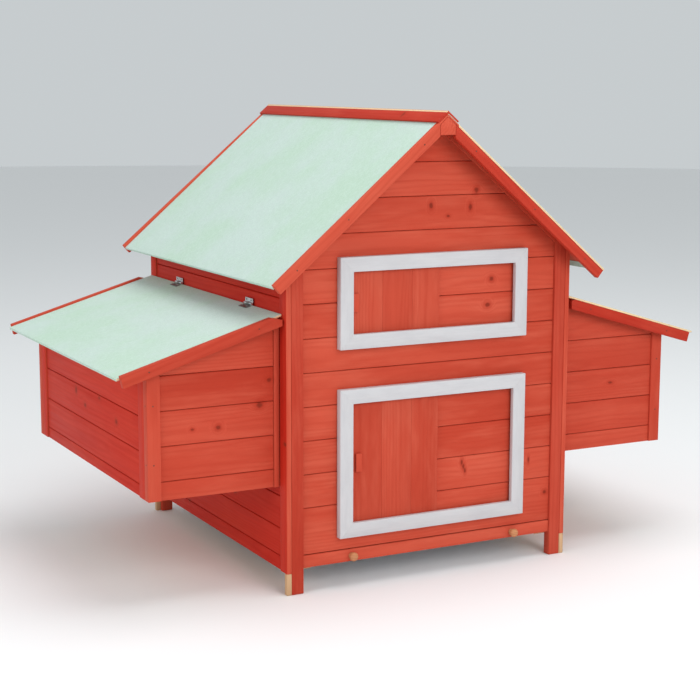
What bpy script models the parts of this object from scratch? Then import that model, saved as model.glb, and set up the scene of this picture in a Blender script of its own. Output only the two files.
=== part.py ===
"""Backyard chicken coop: a raised house with a gable roof, a nest box with a hinged lid on each
side, two sliding panels in white frames, and a droppings tray that pulls out at the front.

Metres, +Z up. The origin is on the ground under the middle of the coop, +X is to the right of
someone who faces the front, and +Y runs to the rear. Depths are given back from the front face
of the front legs, and depth_y() turns them into Y. Outlines of left-hand pieces are the
right-hand ones with X negated.
"""

import math

import bmesh
import bpy
from mathutils import Matrix, Vector

LEFT = -1
RIGHT = 1
GAP = 0.0003                # clearance left between pieces that touch
OVERCUT = 0.01              # how far a cutting solid runs past the piece it cuts

# House
HOUSE_HALF = 0.375          # centre plane to the outer face of a side wall
HOUSE_DEPTH = 0.835         # front face of the front legs to rear face of the rear legs
FRONT_Y = -0.4255           # Y of the front legs' front face
BOARD_T = 0.012
BOARD_PITCH = 0.077
GROOVE_HALF = 0.0018        # half the mouth of a V groove between two boards
GROOVE_DEPTH = 0.0028
LEG_W = 0.030
LEG_T = 0.022
WALL_SETBACK = 0.006        # front boards behind the legs' face
WALL_BOTTOM = 0.0888
WALL_GROOVE_Z = 0.1957      # lowest seam of the gable walls
SIDE_BOTTOM = 0.050
SIDE_RAIL_TOP = 0.0822
SIDE_GROOVE_Z = 0.147
SIDE_PITCH = 0.0749
SIDE_GROOVES = 8            # above the one over the bottom rail
SIDE_RECESS = 0.003         # side boards behind their stiles
SIDE_STILE = 0.035
FOOT_DEPTH = 0.012

# Main roof
RIDGE_Z = 1.074             # where the two top planes meet
ROOF_SLOPE = 0.843          # of the barges and the right sheet
LEFT_SHEET_SLOPE = 0.8615   # the left sheet dips between its barges towards the eave
ROOF_T = 0.005
EAVE_X = {LEFT: 0.4262, RIGHT: 0.4385}
BARGE_END_X = {LEFT: 0.4290, RIGHT: 0.4375}     # where a barge's cut end meets the top plane
ROOF_FRONT = -0.054
ROOF_REAR = 0.905
BARGE_T = 0.014
BARGE_DEPTH = {LEFT: 0.0255, RIGHT: 0.028}      # top plane to lower edge, square to the slope
BEAM_HALF = 0.020
BEAM_BOTTOM = 1.027
CAP_W = 0.032
CAP_T = 0.0045
RAKE_RAIL_W = 0.014

# Nest boxes
NEST_HALF = 0.687
NEST_FRONT = 0.036
NEST_REAR = 0.822
NEST_BOTTOM = 0.245
NEST_POST_W = 0.030
NEST_POST_T = 0.022
NEST_STILE_X = 0.388        # edge of the stile against the house
NEST_RECESS = 0.004
NEST_PANEL_T = 0.016
NEST_FRONT_GROOVES = (0.286, 0.364, 0.442, 0.520)
NEST_SIDE_GROOVES = (0.272, 0.347, 0.4245, 0.502)
NEST_SIDE_STILE = 0.034
NEST_FLOOR_Z = 0.2483
NEST_FLOOR_T = 0.009
ENTRY_BOTTOM = 0.270
ENTRY_TOP = 0.520
ENTRY_DEPTHS = ((0.100, 0.330), (0.505, 0.735))

# Nest lids
LID_INNER_X = 0.3758
LID_OUTER_X = 0.7606
LID_Z = 0.639               # top plane where it meets the house wall
LID_SLOPE = 0.295
LID_T = 0.005
LID_FRONT = 0.008
LID_REAR = 0.842
LID_BARGE_T = 0.014
LID_BARGE_DEPTH = {LEFT: 0.023, RIGHT: 0.030}   # top plane to lower edge
LID_BARGE_END_X = 0.7545
LID_BARGE_PROUD = 0.0045    # how far the left barges rise above the sheet
LEFT_BARGE_INNER_X = 0.3792
LEFT_BARGE_CORNER = (0.4075, 0.0145)    # where the cut-off corner starts, and its drop at the end
RIGHT_BARGE_INNER_X = 0.3900
RIGHT_BARGE_CORNER = (0.3990, 0.0050)

# Hinges
HINGE_X = 0.3782
HINGE_Z = 0.6419
HINGE_LEN = 0.042
HINGE_DEPTHS = (0.196, 0.628)
HINGE_NAMES = ("front", "rear")
BARREL_R = 0.0026
BARREL_SIDES = 16
PIN_R = 0.0011
PIN_CLEARANCE = 0.0003
LEAF_T = 0.0012
WALL_LEAF_TOP = 0.654
LID_LEAF_OUTER_X = 0.394

# Framed sliding panels
FRAME_HALF = 0.247
FRAME_W = 0.0334
FRAME_FACE = -0.012         # depth of the frames' front face
RABBET = 0.008              # how far the panel tracks run in behind the frame's lip
RABBET_CLEARANCE = 0.0006
PANEL_RIGHT = 0.0135
PANEL_FRONT = 0.0003
UPPER_FRAME_Z = (0.5526, 0.7601)
LOWER_FRAME_Z = (0.1184, 0.4614)
HOLE_MARGIN = 0.010
PULL_W = 0.015              # finger pulls, glued on the panels near their left edges
PULL_H = 0.042
PULL_T = 0.007
UPPER_PULL_X = -0.2125      # left edge
LOWER_PULL_X = -0.2040

# Tray
TRAY_FRONT_Z = (0.058, 0.0868)
TRAY_FRONT_DEPTHS = (0.004, 0.016)
TRAY_HALF = 0.3327
PAN_HALF = 0.330
PAN_Z = (0.0603, 0.086)
PAN_WALL = 0.002
PAN_REAR = 0.805
KNOB_X = {LEFT: 0.210, RIGHT: 0.225}
KNOB_Z = 0.0715
KNOB_R = 0.0105
KNOB_NECK_R = 0.0065
KNOB_FOOT_R = 0.0078
KNOB_FOOT_LEN = 0.003
KNOB_NECK_LEN = 0.005       # board to where the head starts
KNOB_LEN = 0.020
RUNNER_INNER_X = 0.305
RUNNER_FLOOR_Z = 0.0600
RUNNER_GUIDE_Z = 0.090

# Perch
PERCH_DEPTH = 0.415
PERCH_Z = 0.330
PERCH_HALF = 0.015
PERCH_CHAMFER = 0.005

COLOURS = {
    "red_stain": ((0.60, 0.062, 0.030), 0.55, 0.0),
    "mint_felt": ((0.58, 0.80, 0.66), 0.85, 0.0),
    "white_paint": ((0.68, 0.68, 0.69), 0.45, 0.0),
    "bare_wood": ((0.60, 0.38, 0.20), 0.60, 0.0),
    "zinc": ((0.60, 0.60, 0.62), 0.35, 1.0),
}

SHEET_SLOPES = {LEFT: LEFT_SHEET_SLOPE, RIGHT: ROOF_SLOPE}
ROOF_COS = 1.0 / math.hypot(1.0, ROOF_SLOPE)
ROOF_SIN = ROOF_SLOPE * ROOF_COS
LID_COS = 1.0 / math.hypot(1.0, LID_SLOPE)
LID_SIN = LID_SLOPE * LID_COS


# ---------------------------------------------------------------- helpers

def clear_scene():
    for obj in list(bpy.data.objects):
        bpy.data.objects.remove(obj, do_unlink=True)


def make_material(name):
    colour, roughness, metallic = COLOURS[name]
    material = bpy.data.materials.new(name)
    material.use_nodes = True
    shader = material.node_tree.nodes["Principled BSDF"]
    shader.inputs["Base Color"].default_value = (*colour, 1.0)
    shader.inputs["Roughness"].default_value = roughness
    shader.inputs["Metallic"].default_value = metallic
    return material


def material_for(name):
    return bpy.data.materials.get(name) or make_material(name)


def depth_y(depth):
    return FRONT_Y + depth


def add_mesh_object(name, bm, material):
    """Turn a bmesh into an object whose origin is the middle of its own box."""
    bmesh.ops.recalc_face_normals(bm, faces=bm.faces[:])
    corners = [vert.co.copy() for vert in bm.verts]
    low = Vector([min(c[i] for c in corners) for i in range(3)])
    high = Vector([max(c[i] for c in corners) for i in range(3)])
    centre = (low + high) / 2
    bmesh.ops.translate(bm, verts=bm.verts[:], vec=-centre)
    mesh = bpy.data.meshes.new(name)
    bm.to_mesh(mesh)
    bm.free()
    mesh.materials.append(material_for(material))
    obj = bpy.data.objects.new(name, mesh)
    obj.location = centre
    bpy.context.collection.objects.link(obj)
    return obj


def prism(name, outline, axis, low, high, material):
    """Sweep a flat outline straight along an axis: X takes (y, z), Y takes (x, z), Z takes (x, y)."""
    bm = bmesh.new()
    verts = []
    for a, b in outline:
        point = {"X": (low, a, b), "Y": (a, low, b), "Z": (a, b, low)}[axis]
        verts.append(bm.verts.new(point))
    face = bm.faces.new(verts)
    swept = bmesh.ops.extrude_face_region(bm, geom=[face])
    moved = [item for item in swept["geom"] if isinstance(item, bmesh.types.BMVert)]
    step = Vector({"X": (1, 0, 0), "Y": (0, 1, 0), "Z": (0, 0, 1)}[axis]) * (high - low)
    bmesh.ops.translate(bm, verts=moved, vec=step)
    return add_mesh_object(name, bm, material)


def along_depth(name, outline, side, near, far, material):
    """An (x, z) outline for the given side, swept from one depth to another."""
    points = [(side * x, z) for x, z in outline]
    return prism(name, points, "Y", depth_y(near), depth_y(far), material)


def box(name, xs, depths, zs, material):
    x0, x1 = sorted(xs)
    z0, z1 = zs
    outline = [(x0, z0), (x1, z0), (x1, z1), (x0, z1)]
    return prism(name, outline, "Y", depth_y(depths[0]), depth_y(depths[1]), material)


def boolean(body, tool, operation):
    """Cut a tool from a body, or join it on. The tool itself isn't a piece."""
    tool.hide_render = True
    tool.display_type = "WIRE"
    modifier = body.modifiers.new(tool.name, "BOOLEAN")
    modifier.operation = operation
    modifier.solver = "EXACT"
    modifier.object = tool


def cut_box(body, label, xs, depths, zs):
    tool = box(body.name + label, xs, depths, zs, "bare_wood")
    boolean(body, tool, "DIFFERENCE")


def join_box(body, label, xs, depths, zs):
    tool = box(body.name + label, xs, depths, zs, "bare_wood")
    boolean(body, tool, "UNION")


def grooved_edge(face, inward, heights):
    """Points up a board face with a V groove at each height; inward is +1 or -1."""
    points = []
    for z in heights:
        points.append((face, z - GROOVE_HALF))
        points.append((face + inward * GROOVE_DEPTH, z))
        points.append((face, z + GROOVE_HALF))
    return points


def roof_top(x):
    return RIDGE_Z - ROOF_SLOPE * x


def sheet_top(x, side):
    return RIDGE_Z - SHEET_SLOPES[side] * x


def roof_under(x, side):
    """Height of the pieces that a roof sheet rests on."""
    return sheet_top(x, side) - (ROOF_T + GAP) * math.hypot(1.0, SHEET_SLOPES[side])


def roof_point(x, depth):
    """The point at a depth below the roof's top plane, square to it, from the top point at x."""
    return (x - depth * ROOF_SIN, roof_top(x) - depth * ROOF_COS)


def lid_top(x):
    return LID_Z - LID_SLOPE * (x - HOUSE_HALF)


def lid_under(x):
    return lid_top(x) - (LID_T + GAP) / LID_COS


def lid_point(x, depth):
    return (x - depth * LID_SIN, lid_top(x) - depth * LID_COS)


def side_name(side):
    return "left" if side == LEFT else "right"


def joint_empty(name, location):
    empty = bpy.data.objects.new(name, None)
    empty.location = location
    bpy.context.collection.objects.link(empty)
    return empty


def hang_on(empty, pieces):
    """Parent pieces to a joint's empty without moving them."""
    for piece in pieces:
        piece.parent = empty
        piece.matrix_parent_inverse = Matrix.Translation(empty.location).inverted()


# ---------------------------------------------------------------- house

def gable_cutter(name, near, far):
    """Everything above the roof's underside, and the slot for the ridge beam."""
    wide = HOUSE_HALF
    slot = BEAM_HALF + GAP
    high = RIDGE_Z + OVERCUT
    outline = [(-wide, roof_under(wide, LEFT)), (-slot, roof_under(slot, LEFT)),
               (-slot, BEAM_BOTTOM - GAP), (slot, BEAM_BOTTOM - GAP),
               (slot, roof_under(slot, RIGHT)), (wide, roof_under(wide, RIGHT)),
               (wide, high), (-wide, high)]
    return prism(name, outline, "Y", depth_y(near), depth_y(far), "red_stain")


def gable_wall(name, face, back, bottom):
    """Tongue-and-groove boards between the legs, cut to the gable; face is the outer depth."""
    inward = 1 if back > face else -1
    heights = []
    z = WALL_GROOVE_Z
    while z < RIDGE_Z:
        heights.append(z)
        z += BOARD_PITCH
    outline = [(depth_y(face), bottom)]
    outline += grooved_edge(depth_y(face), inward, heights)
    outline += [(depth_y(face), RIDGE_Z), (depth_y(back), RIDGE_Z), (depth_y(back), bottom)]
    edge = HOUSE_HALF - BOARD_T - LEG_W - GAP
    wall = prism(name, outline, "X", -edge, edge, "red_stain")
    near, far = sorted((face, back))
    cutter = gable_cutter(name + "_gable_cut", near - OVERCUT, far + OVERCUT)
    boolean(wall, cutter, "DIFFERENCE")
    return wall


def panel_hole(frame_z):
    """X and Z limits of the opening that a sliding panel covers."""
    inner = FRAME_HALF - FRAME_W
    xs = (-inner + HOLE_MARGIN, -HOLE_MARGIN)
    zs = (frame_z[0] + FRAME_W + HOLE_MARGIN, frame_z[1] - FRAME_W - HOLE_MARGIN)
    return xs, zs


def house_front():
    wall = gable_wall("front_wall", WALL_SETBACK, WALL_SETBACK + BOARD_T, WALL_BOTTOM)
    for label, frame_z in (("_shutter_hole", UPPER_FRAME_Z), ("_door_hole", LOWER_FRAME_Z)):
        xs, zs = panel_hole(frame_z)
        through = (WALL_SETBACK - OVERCUT, WALL_SETBACK + BOARD_T + OVERCUT)
        cut_box(wall, label, xs, through, zs)


def house_rear():
    face = HOUSE_DEPTH - WALL_SETBACK
    gable_wall("rear_wall", face, face - BOARD_T, SIDE_BOTTOM)


def leg(name, side, near, far):
    outer = HOUSE_HALF - BOARD_T - GAP
    inner = HOUSE_HALF - BOARD_T - LEG_W
    outline = [(inner, 0.0), (outer, 0.0), (outer, roof_under(outer, side)),
               (inner, roof_under(inner, side))]
    along_depth(name, outline, side, near, far, "red_stain")


def foot_strip(name, side, near, far):
    """Unpainted end of the corner strip, below the side wall."""
    xs = (side * (HOUSE_HALF - BOARD_T), side * HOUSE_HALF)
    box(name, xs, (near, far), (0.0, SIDE_BOTTOM - GAP), "bare_wood")


def side_wall(side):
    """Boards between a front and a rear stile, with two ways through to the nest box."""
    name = side_name(side) + "_wall"
    inner = HOUSE_HALF - BOARD_T
    outline = [(inner, SIDE_BOTTOM), (HOUSE_HALF, SIDE_BOTTOM),
               (HOUSE_HALF, roof_under(HOUSE_HALF, side)), (inner, roof_under(inner, side))]
    wall = along_depth(name, outline, side, 0.0, HOUSE_DEPTH, "red_stain")
    face = HOUSE_HALF - SIDE_RECESS
    outside = HOUSE_HALF + OVERCUT
    heights = [SIDE_RAIL_TOP] + [SIDE_GROOVE_Z + SIDE_PITCH * i for i in range(SIDE_GROOVES)]
    tool_outline = [(outside, 0.0), (face, 0.0)] + grooved_edge(face, -1, heights)
    tool_outline += [(face, RIDGE_Z), (outside, RIDGE_Z)]
    near = SIDE_STILE
    far = HOUSE_DEPTH - SIDE_STILE
    tool = along_depth(name + "_boards_cut", tool_outline, side, near, far, "red_stain")
    boolean(wall, tool, "DIFFERENCE")
    for number, depths in enumerate(ENTRY_DEPTHS):
        xs = (side * (inner - OVERCUT), side * outside)
        cut_box(wall, "_entry_%d" % number, xs, depths, (ENTRY_BOTTOM, ENTRY_TOP))


def rake_rail(side):
    """Slim rail on the front boards, tight under the roof sheet."""
    start = BEAM_HALF + GAP
    end = HOUSE_HALF - BOARD_T - LEG_W - GAP
    drop = RAKE_RAIL_W / ROOF_COS
    outline = [(start, roof_under(start, side)), (end, roof_under(end, side)),
               (end, roof_under(end, side) - drop), (start, roof_under(start, side) - drop)]
    name = side_name(side) + "_gable_rail"
    along_depth(name, outline, side, 0.0, WALL_SETBACK - GAP, "red_stain")


def perch():
    r = PERCH_HALF
    c = PERCH_CHAMFER
    corners = [(-r + c, -r), (r - c, -r), (r, -r + c), (r, r - c), (r - c, r), (-r + c, r),
               (-r, r - c), (-r, -r + c)]
    outline = [(depth_y(PERCH_DEPTH) + a, PERCH_Z + b) for a, b in corners]
    edge = HOUSE_HALF - BOARD_T - GAP
    prism("perch", outline, "X", -edge, edge, "bare_wood")


def house():
    house_front()
    house_rear()
    perch()
    for side in (LEFT, RIGHT):
        name = side_name(side)
        side_wall(side)
        rake_rail(side)
        leg("front_%s_leg" % name, side, 0.0, LEG_T)
        leg("rear_%s_leg" % name, side, HOUSE_DEPTH - LEG_T, HOUSE_DEPTH)
        foot_strip("front_%s_foot" % name, side, 0.0, FOOT_DEPTH)
        foot_strip("rear_%s_foot" % name, side, HOUSE_DEPTH - FOOT_DEPTH, HOUSE_DEPTH)


# ---------------------------------------------------------------- main roof

def ridge_beam():
    half = BEAM_HALF
    edge = roof_under(half, LEFT)
    outline = [(-half, BEAM_BOTTOM), (half, BEAM_BOTTOM), (half, edge), (0.0, roof_under(0.0, LEFT)),
               (-half, edge)]
    prism("ridge_beam", outline, "Y", depth_y(ROOF_FRONT), depth_y(ROOF_REAR), "red_stain")


def roof_sheet(side):
    """The right sheet lies over its barges, and the left one sits between them."""
    inset = BARGE_T + GAP if side == LEFT else 0.0
    slope = SHEET_SLOPES[side]
    length = math.hypot(1.0, slope)
    start = GAP / 2
    end = EAVE_X[side]
    corner = (end - ROOF_T * slope / length, sheet_top(end, side) - ROOF_T / length)
    outline = [(start, sheet_top(start, side)), (end, sheet_top(end, side)), corner,
               (start, sheet_top(start, side) - ROOF_T * length)]
    name = side_name(side) + "_roof_sheet"
    along_depth(name, outline, side, ROOF_FRONT + inset, ROOF_REAR - inset, "mint_felt")


def roof_barges(side):
    """A sloping board at each end. The left ones cover the sheet's edge and lap over the beam."""
    butt = BEAM_HALF + GAP
    under_sheet = ROOF_T + GAP
    end = BARGE_END_X[side]
    low_corner = roof_point(end, BARGE_DEPTH[side])
    low_butt = (butt, roof_top(butt) - BARGE_DEPTH[side] / ROOF_COS)
    if side == LEFT:
        nib = GAP / 2
        outline = [(nib, roof_top(nib)), (end, roof_top(end)), low_corner, low_butt,
                   (butt, roof_under(butt, LEFT) + GAP), (nib, roof_under(nib, LEFT) + GAP)]
    else:
        outline = [(butt, roof_under(butt, RIGHT)), roof_point(end, under_sheet), low_corner,
                   low_butt]
    name = side_name(side)
    front = (ROOF_FRONT, ROOF_FRONT + BARGE_T)
    rear = (ROOF_REAR - BARGE_T, ROOF_REAR)
    along_depth(name + "_front_barge", outline, side, front[0], front[1], "red_stain")
    along_depth(name + "_rear_barge", outline, side, rear[0], rear[1], "red_stain")


def ridge_caps():
    """Two strips over the ridge. The right one laps over the left one's top edge."""
    rise = GAP / ROOF_COS
    thick = CAP_T / ROOF_COS
    outer = CAP_W * ROOF_COS
    tip = (CAP_T * ROOF_SIN, CAP_T * ROOF_COS)
    low_x = rise / (2 * ROOF_SLOPE)
    high_x = (rise + thick) / (2 * ROOF_SLOPE)
    left = [(low_x, RIDGE_Z + ROOF_SLOPE * low_x), (high_x, RIDGE_Z + ROOF_SLOPE * high_x),
            (outer + tip[0], roof_top(outer) + rise + tip[1]), (outer, roof_top(outer) + rise)]
    along_depth("left_ridge_cap", left, LEFT, ROOF_FRONT, ROOF_REAR, "red_stain")
    lap = -thick / (2 * ROOF_SLOPE)
    right = [(lap, roof_top(lap) + rise), (outer, roof_top(outer) + rise),
             (outer + tip[0], roof_top(outer) + rise + tip[1]),
             (lap + tip[0], roof_top(lap) + rise + tip[1])]
    along_depth("right_ridge_cap", right, RIGHT, ROOF_FRONT, ROOF_REAR, "red_stain")


def main_roof():
    ridge_beam()
    ridge_caps()
    for side in (LEFT, RIGHT):
        roof_sheet(side)
        roof_barges(side)


# ---------------------------------------------------------------- nest boxes

def nest_end(name, side, face, inward):
    """Front or rear of a nest box: boards between a corner post and a stile by the house."""
    inner = HOUSE_HALF + GAP
    outline = [(inner, NEST_BOTTOM), (NEST_HALF, NEST_BOTTOM), (NEST_HALF, lid_under(NEST_HALF)),
               (inner, lid_under(inner))]
    near, far = sorted((face, face + inward * NEST_PANEL_T))
    panel = along_depth(name, outline, side, near, far, "red_stain")
    outside = face - inward * OVERCUT
    board_face = face + inward * NEST_RECESS
    tool_outline = [(depth_y(outside), 0.0), (depth_y(board_face), 0.0)]
    tool_outline += grooved_edge(depth_y(board_face), inward, NEST_FRONT_GROOVES)
    tool_outline += [(depth_y(board_face), RIDGE_Z), (depth_y(outside), RIDGE_Z)]
    xs = sorted((side * NEST_STILE_X, side * (NEST_HALF - NEST_POST_W)))
    tool = prism(name + "_boards_cut", tool_outline, "X", xs[0], xs[1], "red_stain")
    boolean(panel, tool, "DIFFERENCE")
    post_depths = sorted((face + inward * NEST_PANEL_T / 2, face + inward * NEST_POST_T))
    post_inner = NEST_HALF - NEST_POST_W
    post_outline = [(post_inner, NEST_BOTTOM), (NEST_HALF, NEST_BOTTOM),
                    (NEST_HALF, lid_under(NEST_HALF)), (post_inner, lid_under(post_inner))]
    post = along_depth(name + "_post", post_outline, side, *post_depths, "red_stain")
    boolean(panel, post, "UNION")


def nest_outer_wall(side):
    name = side_name(side) + "_nest_outer_wall"
    inner = NEST_HALF - BOARD_T
    near = NEST_FRONT + NEST_POST_T + GAP
    far = NEST_REAR - NEST_POST_T - GAP
    outline = [(inner, NEST_BOTTOM), (NEST_HALF, NEST_BOTTOM), (NEST_HALF, lid_under(NEST_HALF)),
               (inner, lid_under(inner))]
    wall = along_depth(name, outline, side, near, far, "red_stain")
    face = NEST_HALF - SIDE_RECESS
    outside = NEST_HALF + OVERCUT
    tool_outline = [(outside, 0.0), (face, 0.0)] + grooved_edge(face, -1, NEST_SIDE_GROOVES)
    tool_outline += [(face, RIDGE_Z), (outside, RIDGE_Z)]
    tool = along_depth(name + "_boards_cut", tool_outline, side, near + NEST_SIDE_STILE,
                       far - NEST_SIDE_STILE, "red_stain")
    boolean(wall, tool, "DIFFERENCE")


def nest_floor(side):
    """Floor board, notched round the two corner posts."""
    inner = HOUSE_HALF + GAP
    outer = NEST_HALF - BOARD_T - GAP
    post_x = NEST_HALF - NEST_POST_W - GAP
    front = depth_y(NEST_FRONT + NEST_PANEL_T + GAP)
    rear = depth_y(NEST_REAR - NEST_PANEL_T - GAP)
    post_front = depth_y(NEST_FRONT + NEST_POST_T + GAP)
    post_rear = depth_y(NEST_REAR - NEST_POST_T - GAP)
    corners = [(inner, front), (post_x, front), (post_x, post_front), (outer, post_front),
               (outer, post_rear), (post_x, post_rear), (post_x, rear), (inner, rear)]
    outline = [(side * x, y) for x, y in corners]
    top = NEST_FLOOR_Z + NEST_FLOOR_T
    prism(side_name(side) + "_nest_floor", outline, "Z", NEST_FLOOR_Z, top, "bare_wood")


def nest_box(side):
    name = side_name(side)
    nest_end(name + "_nest_front", side, NEST_FRONT, 1)
    nest_end(name + "_nest_rear", side, NEST_REAR, -1)
    nest_outer_wall(side)
    nest_floor(side)


# ---------------------------------------------------------------- nest lids and their hinges

def lid_sheet(side):
    inset = LID_BARGE_T + GAP if side == LEFT else 0.0
    outline = [(LID_INNER_X, lid_top(LID_INNER_X)), (LID_OUTER_X, lid_top(LID_OUTER_X)),
               lid_point(LID_OUTER_X, LID_T), (LID_INNER_X, lid_top(LID_INNER_X) - LID_T / LID_COS)]
    name = side_name(side) + "_lid_sheet"
    return along_depth(name, outline, side, LID_FRONT + inset, LID_REAR - inset, "mint_felt")


def lid_barge_outline(side):
    """The corner by the house is cut off, so that the lid can swing up."""
    if side == LEFT:
        end_x = LEFT_BARGE_INNER_X
        corner_x, corner_drop = LEFT_BARGE_CORNER
        top_out = (LID_BARGE_END_X, lid_top(LID_BARGE_END_X) + LID_BARGE_PROUD)
        top_in = (corner_x, lid_top(corner_x) + LID_BARGE_PROUD)
        end_top = lid_top(end_x) + LID_BARGE_PROUD - corner_drop
    else:
        end_x = RIGHT_BARGE_INNER_X
        corner_x, corner_drop = RIGHT_BARGE_CORNER
        top_out = lid_point(LID_BARGE_END_X, LID_T + GAP)
        top_in = (corner_x, lid_under(corner_x))
        end_top = lid_under(end_x) - corner_drop
    end_bottom = lid_top(end_x) - LID_BARGE_DEPTH[side] / LID_COS
    bottom_out = lid_point(LID_BARGE_END_X, LID_BARGE_DEPTH[side])
    return [(end_x, end_bottom), bottom_out, top_out, top_in, (end_x, end_top)]


def lid_barges(side):
    name = side_name(side)
    outline = lid_barge_outline(side)
    front = along_depth(name + "_lid_front_barge", outline, side, LID_FRONT,
                        LID_FRONT + LID_BARGE_T, "red_stain")
    rear = along_depth(name + "_lid_rear_barge", outline, side, LID_REAR - LID_BARGE_T, LID_REAR,
                       "red_stain")
    return [front, rear]


def barrel(name, side, near, far, radius):
    """Round bar on the hinge axis."""
    outline = []
    for i in range(BARREL_SIDES):
        angle = 2 * math.pi * (i + 0.5) / BARREL_SIDES
        outline.append((HINGE_X + radius * math.cos(angle), HINGE_Z + radius * math.sin(angle)))
    return along_depth(name, outline, side, near, far, "zinc")


def hinge_wall_leaf(name, side, centre):
    """Plate on the wall with the two outer knuckles and the pin."""
    near = centre - HINGE_LEN / 2
    far = centre + HINGE_LEN / 2
    third = HINGE_LEN / 3
    plate_x = (side * (HOUSE_HALF + GAP), side * (HOUSE_HALF + GAP + LEAF_T))
    notch_top = HINGE_Z + BARREL_R + 2 * GAP
    leaf = box(name, plate_x, (near, far), (notch_top, WALL_LEAF_TOP), "zinc")
    for label, depths in (("_front", (near, near + third)), ("_rear", (far - third, far))):
        join_box(leaf, label + "_tab", plate_x, depths, (HINGE_Z, notch_top + LEAF_T))
        knuckle = barrel(name + label + "_knuckle", side, depths[0], depths[1], BARREL_R)
        boolean(leaf, knuckle, "UNION")
    inset = third / 2
    boolean(leaf, barrel(name + "_pin", side, near + inset, far - inset, PIN_R), "UNION")
    return leaf


def hinge_lid_leaf(name, side, centre):
    """Plate on the lid with the middle knuckle, bored for the pin."""
    near = centre - HINGE_LEN / 2
    far = centre + HINGE_LEN / 2
    third = HINGE_LEN / 3
    middle = (near + third + GAP, far - third - GAP)
    knuckle_edge = HINGE_X + BARREL_R + 2 * GAP

    def plate(label, start, depths):
        low = GAP / LID_COS
        high = (GAP + LEAF_T) / LID_COS
        end = LID_LEAF_OUTER_X
        outline = [(start, lid_top(start) + low), (end, lid_top(end) + low),
                   (end, lid_top(end) + high), (start, lid_top(start) + high)]
        return along_depth(name + label, outline, side, depths[0], depths[1], "zinc")

    leaf = plate("", knuckle_edge, (near, far))
    boolean(leaf, plate("_tab", HINGE_X, middle), "UNION")
    boolean(leaf, barrel(name + "_knuckle", side, middle[0], middle[1], BARREL_R), "UNION")
    bore = barrel(name + "_bore", side, near, far, PIN_R + PIN_CLEARANCE)
    boolean(leaf, bore, "DIFFERENCE")
    return leaf


def lid(side):
    """A lid and everything that swings with it, on an empty at its hinge axis."""
    name = side_name(side)
    pieces = [lid_sheet(side)] + lid_barges(side)
    for hinge_name, centre in zip(HINGE_NAMES, HINGE_DEPTHS):
        base = "%s_%s_hinge" % (name, hinge_name)
        hinge_wall_leaf(base + "_wall_leaf", side, centre)
        pieces.append(hinge_lid_leaf(base + "_lid_leaf", side, centre))
    middle = sum(HINGE_DEPTHS) / 2
    empty = joint_empty(name + "_lid_axis", (side * HINGE_X, depth_y(middle), HINGE_Z))
    hang_on(empty, pieces)


# ---------------------------------------------------------------- framed sliding panels

def panel_frame(name, zs):
    """White frame with a track behind its lip for the sliding panel."""
    back = WALL_SETBACK - GAP
    inner = FRAME_HALF - FRAME_W
    low = zs[0] + FRAME_W
    high = zs[1] - FRAME_W
    frame = box(name, (-FRAME_HALF, FRAME_HALF), (FRAME_FACE, back), zs, "white_paint")
    cut_box(frame, "_hole", (-inner, inner), (FRAME_FACE - OVERCUT, back + OVERCUT),
            (low, high))
    cut_box(frame, "_track", (-inner - RABBET, inner + RABBET), (0.0, back + OVERCUT),
            (low - RABBET, high + RABBET))


def sliding_panel(name, zs, pull_x):
    """Upright boards that run in the frame's track, and the finger pull glued on them."""
    reach = RABBET - RABBET_CLEARANCE
    left = -(FRAME_HALF - FRAME_W) - reach
    low = zs[0] + FRAME_W - reach
    high = zs[1] - FRAME_W + reach
    back = WALL_SETBACK - GAP
    panel = box(name, (left, PANEL_RIGHT), (PANEL_FRONT, back), (low, high), "red_stain")
    middle = (low + high) / 2
    pull_back = PANEL_FRONT - GAP
    pull = box(name + "_pull", (pull_x, pull_x + PULL_W), (pull_back - PULL_T, pull_back),
               (middle - PULL_H / 2, middle + PULL_H / 2), "red_stain")
    hang_on(joint_empty(name + "_slide", panel.location.copy()), [panel, pull])


def framed_panels():
    panel_frame("upper_white_frame", UPPER_FRAME_Z)
    panel_frame("lower_white_frame", LOWER_FRAME_Z)
    sliding_panel("upper_shutter", UPPER_FRAME_Z, UPPER_PULL_X)
    sliding_panel("lower_door", LOWER_FRAME_Z, LOWER_PULL_X)


# ---------------------------------------------------------------- droppings tray

def knob(name, side):
    """Turned wooden knob, spun round an axis that points out of the tray's front board."""
    base = TRAY_FRONT_DEPTHS[0] - GAP
    centre = Vector((side * KNOB_X[side], depth_y(base), KNOB_Z))
    profile = [(0.0, 0.0), (KNOB_FOOT_R, 0.0), (KNOB_NECK_R, KNOB_FOOT_LEN),
               (KNOB_NECK_R, KNOB_NECK_LEN)]
    arc_steps = 6
    start_angle = math.asin(KNOB_NECK_R / KNOB_R)
    stretch = (KNOB_LEN - KNOB_NECK_LEN) / (1 + math.cos(start_angle))
    for i in range(1, arc_steps):
        angle = (math.pi - start_angle) * (1 - i / arc_steps)
        along = KNOB_NECK_LEN + stretch * (math.cos(start_angle) + math.cos(angle))
        profile.append((KNOB_R * math.sin(angle), along))
    profile.append((0.0, KNOB_LEN))
    bm = bmesh.new()
    verts = [bm.verts.new(centre + Vector((r, -out, 0.0))) for r, out in profile]
    edges = [bm.edges.new(pair) for pair in zip(verts, verts[1:])]
    bmesh.ops.spin(bm, geom=verts + edges, cent=centre, axis=(0.0, 1.0, 0.0), angle=2 * math.pi,
                   steps=20, use_merge=False)
    bmesh.ops.remove_doubles(bm, verts=bm.verts[:], dist=0.00001)
    piece = add_mesh_object(name, bm, "bare_wood")
    piece.data.shade_smooth()
    return piece


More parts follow.
